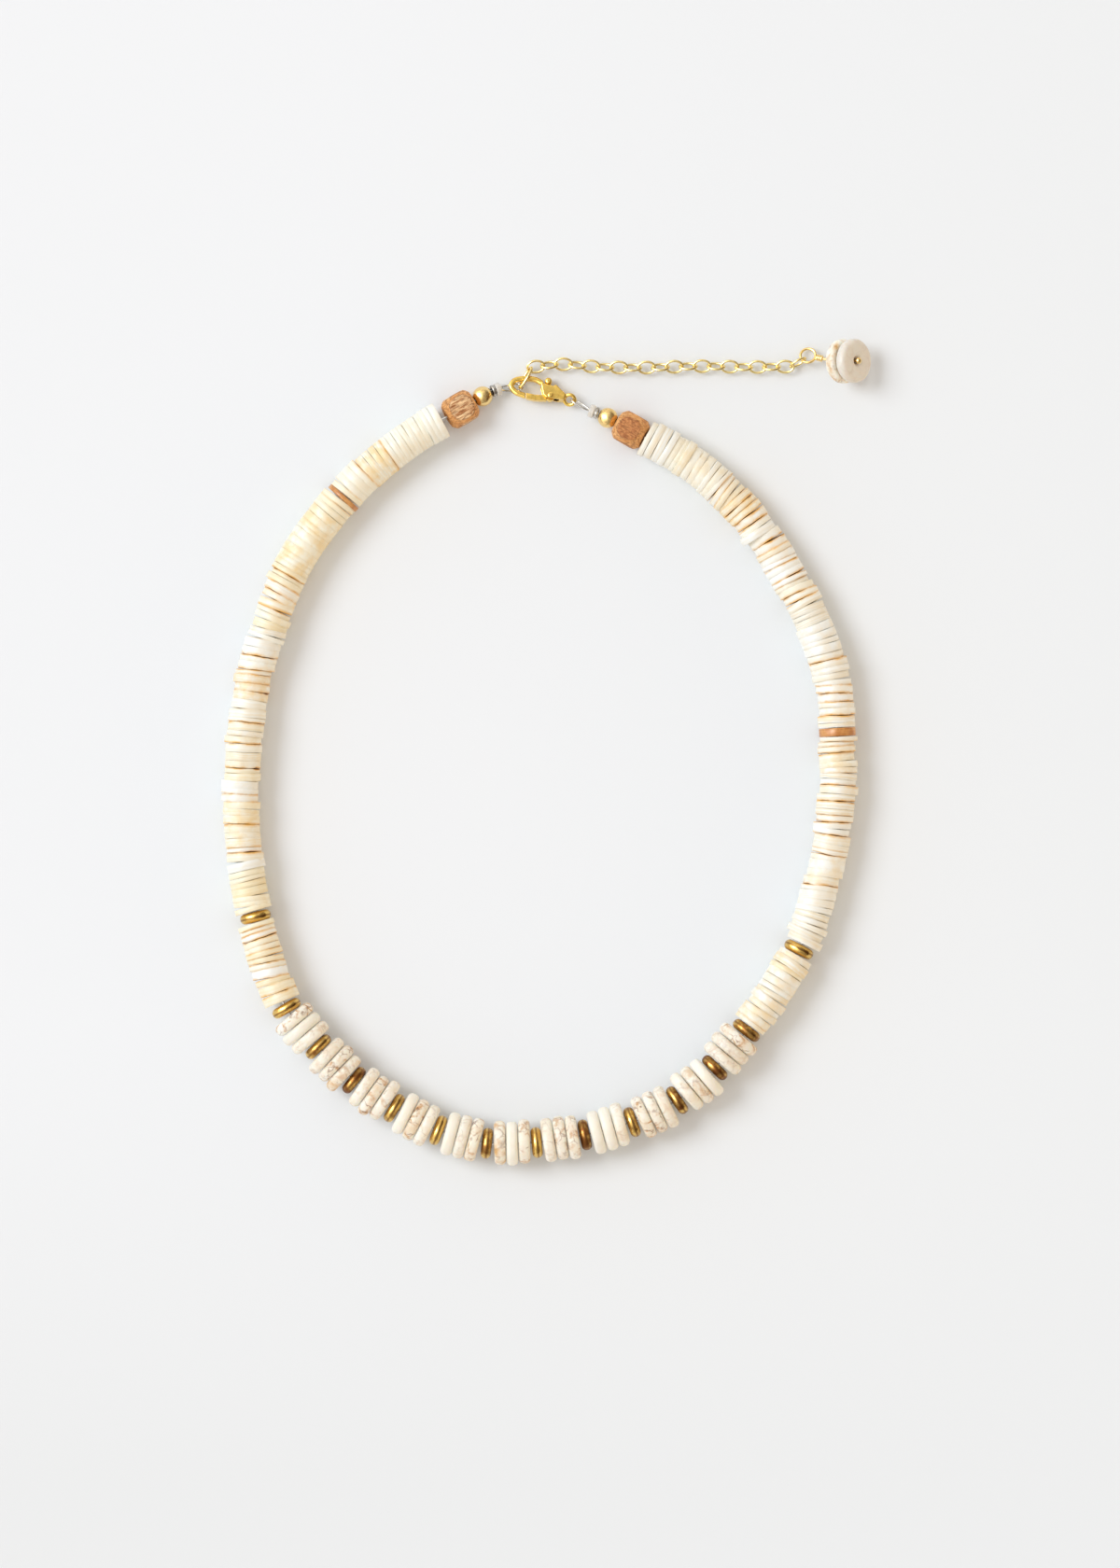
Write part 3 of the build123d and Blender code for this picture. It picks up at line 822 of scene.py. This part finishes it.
def wood_material():
    """Reddish-tan wood, its fibres along the string, with a face cut flat on each side."""
    made, tree, shader = new_material("tan_wood", IOR=1.45)
    place = add(tree, "ShaderNodeAttribute", attribute_name="grain").outputs["Vector"]
    drawn = add(tree, "ShaderNodeMapping", {"Vector": place, "Scale": (2.6, 2.6, 0.4)})
    fibre = noise(tree, drawn.outputs[0], 1.0, 4.0, 2.0, 0.7)
    pores = add(tree, "ShaderNodeMapping", {"Vector": place, "Scale": (4.6, 4.6, 0.8)})
    pores = ramp(tree, noise(tree, pores.outputs[0], 1.0, 2.0, 5.0), 0.54, 0.62)
    grain = ramp(tree, fibre, 0.4, 0.6)
    wood = blend(tree, grain, paint(200, 134, 72), paint(232, 176, 112))
    speck = ramp(tree, noise(tree, place, 2.2, 4.0, 7.0, 0.7), 0.4, 0.62)
    cut = blend(tree, speck, paint(160, 96, 46), paint(202, 138, 80))
    pale = blend(tree, grain, paint(168, 106, 56), paint(250, 216, 166))
    cut = blend(tree, attribute(tree, "pale"), cut, pale)
    wood = blend(tree, attribute(tree, "facet"), wood, cut)
    edge = times(tree, attribute(tree, "edge"), 0.36)
    wood = blend(tree, edge, wood, paint(128, 72, 32))
    wood = blend(tree, times(tree, pores, 0.6), wood, paint(120, 70, 36))
    rough = ramp(tree, fibre, 0.3, 0.7, 0.62, 0.5)
    connect(tree, shader, Base_Color=wood, Roughness=rough)
    height = calc(tree, "SUBTRACT", fibre, times(tree, pores, 0.6))
    set_bump(tree, shader, height, 0.12, 0.8)
    return made


def brown_shell_material():
    """Amber-brown shell disc with growth lines and a paler patch."""
    made, tree, shader = new_material("amber_shell", IOR=1.5, Coat_Weight=0.3, Coat_Roughness=0.2)
    depth = times(tree, attribute(tree, "side"), shell["Thickness"])
    lines = use(tree, growth_lines, Depth=depth, Spacing=0.35, Seed=4.0)[0]
    pale = use(tree, patches, Size=2.4, Cover=0.4, Softness=0.12, Seed=5.0)[0]
    amber = blend(tree, lines, paint(204, 134, 58), paint(160, 96, 42))
    amber = blend(tree, times(tree, pale, 0.8), amber, paint(236, 184, 116))
    rough = ramp(tree, lines, 0.0, 1.0, 0.3, 0.45)
    connect(tree, shader, Base_Color=amber, Roughness=rough)
    set_bump(tree, shader, lines, 0.04, 0.5)
    return made


def clear_material():
    """Slightly cloudy clear bead."""
    made, tree, shader = new_material("clear_bead", IOR=1.45, Transmission_Weight=0.4)
    cloud = use(tree, patches, Size=0.8, Cover=0.5, Softness=0.3, Seed=1.0)[0]
    milk = blend(tree, cloud, paint(252, 250, 246), paint(236, 228, 212))
    rough = ramp(tree, cloud, 0.0, 1.0, 0.12, 0.25)
    connect(tree, shader, Base_Color=milk, Roughness=rough)
    return made


cream_shell = shell_material()
veined_stone = stone_material()
aged_brass = metal_material(
    "aged_brass", paint(226, 188, 108), paint(128, 82, 42), size=1.6, dent=0.03
)
polished_gold = metal_material(
    "polished_gold", paint(248, 216, 148), paint(206, 160, 92), size=1.2, dent=0.008,
    tarnish=0.15, base_seed=3.0,
)
# The clasp's brown patches are partly tarnish, partly painted shade and dark reflections for contrast
clasp_gold = metal_material(
    "clasp_gold", paint(252, 214, 116), paint(176, 120, 44), size=1.7, dent=0.02,
    tarnish=0.3, base_seed=5.0, rough=0.03, swell=0.12,
)
chain_gold = metal_material(
    "chain_gold", paint(250, 228, 162), paint(190, 152, 82), size=1.0, dent=0.01,
    tarnish=0.32, base_seed=8.0, rough=0.1,
)
wire_steel = metal_material(
    "wire_steel", paint(214, 212, 208), paint(150, 148, 144), size=0.5, dent=0.01,
    tarnish=0.4, base_seed=2.0,
)
crimp_steel = metal_material(
    "crimp_steel", paint(206, 202, 196), paint(140, 136, 130), size=0.7, dent=0.02,
    tarnish=0.5, base_seed=6.0,
)
tan_wood = wood_material()
amber_shell = brown_shell_material()
clear_bead = clear_material()


# Pieces

def settle(piece, body, slot, *nodes):
    """Ties a finished piece to its body and hides the nodes that it stands for. Its slot is not used.
    """
    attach(piece, body)
    if nodes:
        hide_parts(*nodes)
    return piece


beads = bead_tree()
links = link_tree()


def bead_piece(name, discs, sizes, material, slot, node, **columns):
    """One piece for a row of discs, each with the size and place given to it."""
    values = {key: value if key in bead_counts else value * MM for key, value in sizes.items()}
    values["Material"] = material
    widths = [disc["diameter"] / values["Diameter"] for disc in discs]
    lengths = [disc["length"] / values["Thickness"] for disc in discs]
    attributes = {
        "axis": [disc["axis"] for disc in discs],
        "size": list(zip(widths, widths, lengths)),
        "seed": [draw.random() for _ in discs],
        "chipped": [draw.random() ** 3 for _ in discs],
        **columns,
    }
    piece = grow(name, beads, [disc["middle"] for disc in discs], attributes, values)
    return settle(piece, necklace, slot, node)


def along(stretches, disc, usual):
    """What a table of stretches gives at a disc, or else the usual value."""
    nearer = nearer_side(disc)
    found = [amount for start, end, amount in stretches[nearer] if start <= disc[nearer] < end]
    return max(found, default=usual)


def pair_discs(row):
    """Marks shell discs that lie so close to the one before that the two look like one."""
    for first, second in zip(row, row[1:]):
        if not (first["node"].startswith("shell") and first["node"] == second["node"]):
            continue
        if draw.random() < along(closed, second, usual_closed):
            second["paired"] = first


def sway(row):
    """Sets discs a little to the side of the string, a few at a time, as loose discs lie."""
    aside = 0.0
    lean = 0.0
    for disc in row:
        kind = disc["node"].split("_")[0]
        if kind not in ("shell", "stone"):
            continue
        reach = shell_sway if kind == "shell" else stone_sway
        if kind == "stone" or "paired" not in disc and draw.random() < new_place_share:
            aside = draw.uniform(-reach, reach)
        across = Vector((0, 0, 1)).cross(disc["axis"]).normalized()
        disc["middle"] = disc["middle"] + across * aside * MM
        if kind == "shell":
            if "paired" not in disc and draw.random() < new_lean_share:
                lean = draw.uniform(-shell_lean, shell_lean)
            disc["axis"] = (disc["axis"] + across * lean).normalized()
            disc["diameter"] += shell_spare * draw.uniform(0.2, 1.0) * MM
            if "paired" in disc:
                disc["diameter"] = disc["paired"]["diameter"]
            rests = disc["diameter"] / 2 + 0.02 * MM
            disc["middle"].z = max(disc["middle"].z, rests)


def seam_stain_and_shade_strength(strong):
    """How strongly the stain and painted shade line between two closed discs shows, given the share of
    strong ones.
    """
    if draw.random() < strong:
        return draw.uniform(0.5, 0.95)
    return draw.uniform(0.0, 0.35)


def set_gaps(row):
    """Brings shell discs together, marks where the photograph shows them standing open, and sets the
    stain, painted shade and painted glow on their seams.
    """
    for first, second in zip(row, row[1:]):
        kinds = {first["node"].split("_")[0], second["node"].split("_")[0]}
        nearer = nearer_side(first)
        if kinds == {"shell", "brown"}:
            gain = amber_spare[nearer] if first["node"].startswith("brown") else -amber_spare[nearer]
            first["grow"][1] += gain * MM
            second["grow"][0] -= gain * MM
        if kinds != {"shell"}:
            continue
        apart = (second["middle"] - first["middle"]).length
        gap = apart - (first["length"] + second["length"]) / 2
        first["grow"][1] += gap / 2
        second["grow"][0] += gap / 2
        here = (first[nearer] + second[nearer]) / 2
        place = min(open_gaps[nearer], key=lambda spot: abs(spot - here))
        opened = loose_gap * draw.random()
        stain = seam_stain_and_shade_strength(along(lined, second, usual_lined))
        if "paired" in second:
            opened = 0.0
            stain = 0.0
        if abs(place - here) <= apart / MM / 2:
            opened = open_gap * open_gaps[nearer][place]
            stain = 1.0
        first["open"][1] = second["open"][0] = opened * MM
        first["stain"][1] = second["stain"][0] = stain
    # The last few discs spread until they reach the right wood bead
    share = wood_reach / wood_reach_discs * MM
    for step, disc in enumerate(row[-wood_reach_discs:]):
        disc["grow"][0] -= step * share
        disc["grow"][1] += (step + 1) * share
    for disc in row:
        low, high = disc["grow"]
        disc["length"] += low + high
        disc["middle"] = disc["middle"] + disc["axis"] * (high - low) / 2


def tint_shells(row):
    """Gives each shell disc its own cream, which drifts slowly along the string."""
    drift = 0.5
    for disc in row:
        if not disc["node"].startswith("shell"):
            continue
        nearer = nearer_side(disc)
        low = coldest_left_back if disc["left"] < left_back_end else coldest
        drift += draw.uniform(-warmth_step, warmth_step)
        drift = min(max(drift, low), warmest[nearer])
        disc["seed"] = draw.random()
        disc["honey"] = along(honey, disc, draw.uniform(0.05, 0.35))
        disc["warmth"] = drift + draw.uniform(-0.15, 0.15)
        if draw.random() < white_disc_share:
            disc["warmth"] = low * draw.uniform(0.0, 1.0)
        disc["layered"] = draw.uniform(0.15, 0.75)
        if "paired" in disc:
            for key in shell_tints:
                disc[key] = disc["paired"][key]


def make_shells(row):
    for node in sorted({disc["node"] for disc in row if disc["node"].startswith("shell")}):
        discs = [disc for disc in row if disc["node"] == node]
        columns = {key: [disc[key] for disc in discs] for key in shell_tints}
        for key in ("stain", "open"):
            columns[key + "_low"] = [disc[key][0] for disc in discs]
            columns[key + "_high"] = [disc[key][1] for disc in discs]
        name = node.replace("discs", "beads")
        bead_piece(name, discs, shell, cream_shell, "shell", node, **columns)


def stone_piece(name, discs, node, looks, dull):
    """One piece for a row of stone discs, each marked in its own way and dulled by some grey."""
    veined, patched = zip(*(stone_looks[word] for word in looks))
    columns = {"veined": veined, "patched": patched, "dull": dull}
    bead_piece(name, discs, stone, veined_stone, "stone", node, **columns)


def make_stones(row):
    for number, looks in enumerate(stone_rows, 1):
        node = f"stone_discs_{number:02d}"
        discs = [disc for disc in row if disc["node"] == node]
        dull = [0.15 * draw.random() for _ in discs]
        stone_piece(node.replace("discs", "trio"), discs, node, looks.split(), dull)


def make_rondelles(row):
    tarnish = {f"brass_rondelle_{n:02d}": t for n, t in enumerate(front_tarnish, 1)}
    tarnish.update({f"brass_rondelle_outer_{side}": t for side, t in outer_tarnish.items()})
    for disc in row:
        node = disc["node"]
        if node in tarnish:
            name = node.replace("brass_rondelle", "aged_rondelle")
            bead_piece(
                name, [disc], rondelle, aged_brass, "aged_brass", node, tarnish=[tarnish[node]]
            )


def make_brown_discs(row):
    for disc in row:
        if disc["node"].startswith("brown"):
            name = disc["node"].replace("brown", "amber")
            bead_piece(name, [disc], shell, amber_shell, "brown_shell", disc["node"])


def make_drop_discs():
    rows = {"drop_disc_inner": ("patched", 0.0), "drop_disc_outer": ("faint", 0.7)}
    for node, (look, dull) in rows.items():
        discs = discs_of(node, middle_of(node))
        stone_piece(node.replace("disc", "stone"), discs, node, [look], [dull])


def make_chain():
    found = [main_directions(corners) for corners in loose_solids("extender_chain")]
    found.sort(key=lambda link: link[0].x)
    kinds = {"chain_end_link": (found[:1], end_link_wire), "chain_links": (found[1:], chain_wire)}
    for name, (rows, wire) in kinds.items():
        _, _, reach = rows[0]
        values = {
            "Length": reach[0],
            "Width": reach[1],
            "Wire": wire * MM,
            "Sides": 10,
            "Bend steps": 28,
            "Material": chain_gold,
        }
        attributes = {
            "length_way": [directions[0] for _, directions, _ in rows],
            "width_way": [directions[1] for _, directions, _ in rows],
        }
        piece = grow(name, links, [middle for middle, _, _ in rows], attributes, values)
        nodes = ["extender_chain"] if name == "chain_links" else []
        settle(piece, necklace, "chain_gold", *nodes)


def cast_copy(name, node, body, slot, material, voxel, rounds):
    """A softened copy of a node, its hard edges rounded as in a casting."""
    mesh = bpy.data.meshes.new(name)
    copy = merged_copy(node)
    copy.to_mesh(mesh)
    copy.free()
    obj = new_object(name, mesh)
    remesh = obj.modifiers.new("remesh", "REMESH")
    remesh.mode = "VOXEL"
    remesh.voxel_size = voxel * MM
    smooth = obj.modifiers.new("smooth", "SMOOTH")
    smooth.factor = 0.5
    smooth.iterations = rounds
    done = apply_modifiers(obj)
    done.materials.clear()
    done.materials.append(material)
    done.shade_smooth()
    return settle(obj, body, slot, node)


def make_wood():
    for side in ("left", "right"):
        node = "wood_bead_" + side
        piece = cast_copy(
            "wood_cube_" + side, node, necklace, "wood", tan_wood, voxel=0.09, rounds=2
        )
        middle = middle_of(node)
        string = (middle_of("brass_ball_" + side) - middle).normalized()
        across = Vector((0, 0, 1)).cross(string).normalized()
        up = string.cross(across)
        kinds = {"grain": "FLOAT_VECTOR", "facet": "FLOAT", "edge": "FLOAT", "pale": "FLOAT"}
        for name, kind in kinds.items():
            piece.data.attributes.new(name, kind, "POINT")
        grain, facet, edge, pale = (piece.data.attributes[name] for name in kinds)
        for point in piece.data.vertices:
            place = (point.co - middle) / MM
            place = Vector((place.dot(across), place.dot(up), place.dot(string)))
            grain.data[point.index].vector = place
            low, high = sorted(abs(part) for part in place[:2])
            reach = (low ** 3 + abs(place.z) ** 3) ** (1 / 3) / high
            beyond = reach - face_reach[side]
            facet.data[point.index].value = 1.0 if beyond < 0 else 0.0
            edge.data[point.index].value = max(0.0, 1.0 - abs(beyond) / face_edge)
            pale.data[point.index].value = 1.0 if side == "left" else 0.0


def make_clasp():
    cast = {"slot": "clasp_gold", "material": clasp_gold, "voxel": 0.055, "rounds": 3}
    cast_copy("cast_hook", "clasp_body", necklace, **cast)
    cast_copy("cast_lever", "clasp_lever", "lever", **cast)
    cast_copy(
        "wrapped_pin", "drop_pin", necklace, "polished_gold", polished_gold, voxel=0.045, rounds=2
    )


def dress_plain_nodes():
    """Better finishes for the small parts whose modelled shape is right."""
    finishes = {
        "beading_wire": ("wire_steel", wire_steel),
        "crimp": ("crimp_steel", crimp_steel),
        "clear_bead": ("clear_glass", clear_bead),
        "brass_ball": ("polished_gold", polished_gold),
    }
    for node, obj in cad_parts.items():
        for start, (slot, material) in finishes.items():
            if node.startswith(start):
                for place in obj.material_slots:
                    place.material = material


# Table, light and camera

def make_table():
    half = table_side / 2 * MM
    table = bpy.data.meshes.new("table")
    corners = [(-half, -half, 0), (half, -half, 0), (half, half, 0), (-half, half, 0)]
    table.from_pydata(corners, [], [(0, 1, 2, 3)])
    made, tree, shader = new_material("pale_table", Roughness=0.9)
    cloud = use(tree, patches, Size=60.0, Cover=0.5, Softness=0.4, Seed=2.0)[0]
    white = blend(tree, cloud, paint(234, 239, 243), paint(233, 238, 242))
    # Painted shade: the table darkens towards the right and towards the bottom of the frame
    place = add(tree, "ShaderNodeSeparateXYZ", {0: table_millimetres(tree)}).outputs
    white = blend(tree, ramp(tree, place[0], *shade_right), white, paint(229, 234, 237))
    downward = ramp(tree, place[1], *shade_bottom, 1.0, 0.0)
    connect(tree, shader, Base_Color=blend(tree, downward, white, paint(227, 232, 235)))
    table.materials.append(made)
    obj = new_object("table", table)


def key_direction():
    """Where the light comes from."""
    rise = math.radians(key_elevation)
    turn = math.radians(key_azimuth)
    return Vector(
        (math.cos(rise) * math.cos(turn), math.cos(rise) * math.sin(turn), math.sin(rise))
    )


def make_light():
    data = bpy.data.lights.new("window_light", "SUN")
    data.energy = key_strength
    data.angle = math.radians(key_width)
    data.color = key_colour
    obj = new_object("window_light", data)
    obj.rotation_euler = key_direction().to_track_quat("Z", "Y").to_euler()
    world = bpy.data.worlds.new("pale_room")
    bpy.context.scene.world = world
    world.use_nodes = True
    tree = world.node_tree
    plain = tree.nodes["Background"]
    plain.inputs["Strength"].default_value = surroundings
    # The window side is cool and the far side is warm, which tints the shadows
    way = add(tree, "ShaderNodeTexCoord").outputs["Generated"]
    way = vector_calc(tree, "NORMALIZE", way)
    rightward = ramp(tree, vector_calc(tree, "DOT_PRODUCT", way, (0.95, -0.3, 0.0)), -0.7, 0.7)
    sides = blend(tree, rightward, (*near_colour, 1.0), (*far_colour, 1.0))
    low_sides = blend(tree, rightward, (*near_low_colour, 1.0), (*far_low_colour, 1.0))
    rise = add(tree, "ShaderNodeSeparateXYZ", {0: way}).outputs[2]
    sides = blend(tree, ramp(tree, rise, 0.0, glow_top, 1.0, 0.0), sides, low_sides)
    tree.links.new(sides, plain.inputs["Color"])
    # What polished metal mirrors: a bright window in a pale room, which is darker on the far side
    towards = vector_calc(tree, "DOT_PRODUCT", way, tuple(key_direction()))
    window = ramp(tree, towards, 0.72, 0.9)
    leftward = ramp(tree, vector_calc(tree, "DOT_PRODUCT", way, (-1.0, 0.2, 0.0)), -0.9, 0.3)
    room = blend(tree, leftward, paint(96, 76, 58), paint(242, 238, 230))
    room = blend(tree, window, room, mirrored_window)
    panels = ramp(tree, noise(tree, way, 2.4, 1.0, 3.0), 0.42, 0.56, *mirrored_glow)
    mirrored = add(tree, "ShaderNodeBackground", {"Color": room, "Strength": panels})
    glossy = add(tree, "ShaderNodeLightPath").outputs["Is Glossy Ray"]
    sources = {0: glossy, 1: plain.outputs[0], 2: mirrored.outputs[0]}
    both = add(tree, "ShaderNodeMixShader", sources)
    tree.links.new(both.outputs[0], tree.nodes["World Output"].inputs[0])


def make_camera():
    data = bpy.data.cameras.new("camera")
    data.lens = lens_length
    data.sensor_width = sensor_long_side
    data.clip_end = 10.0
    obj = new_object("camera", data)
    distance = frame_height * lens_length / sensor_long_side
    obj.location = Vector(frame_middle) * MM + Vector((0, 0, distance * MM))
    bpy.context.scene.camera = obj


row = beads_along_string()
for disc in row:
    disc["grow"] = [0.0, 0.0]
    disc["open"] = [0.0, 0.0]
    # Seams next to other beads start with a faint stain and painted shade
    disc["stain"] = [0.3, 0.3]
pair_discs(row)
set_gaps(row)
sway(row)
tint_shells(row)
make_shells(row)
make_stones(row)
make_rondelles(row)
make_brown_discs(row)
make_drop_discs()
make_chain()
make_wood()
make_clasp()
dress_plain_nodes()
make_table()
make_light()
make_camera()

bpy.context.scene.view_settings.view_transform = "Standard"
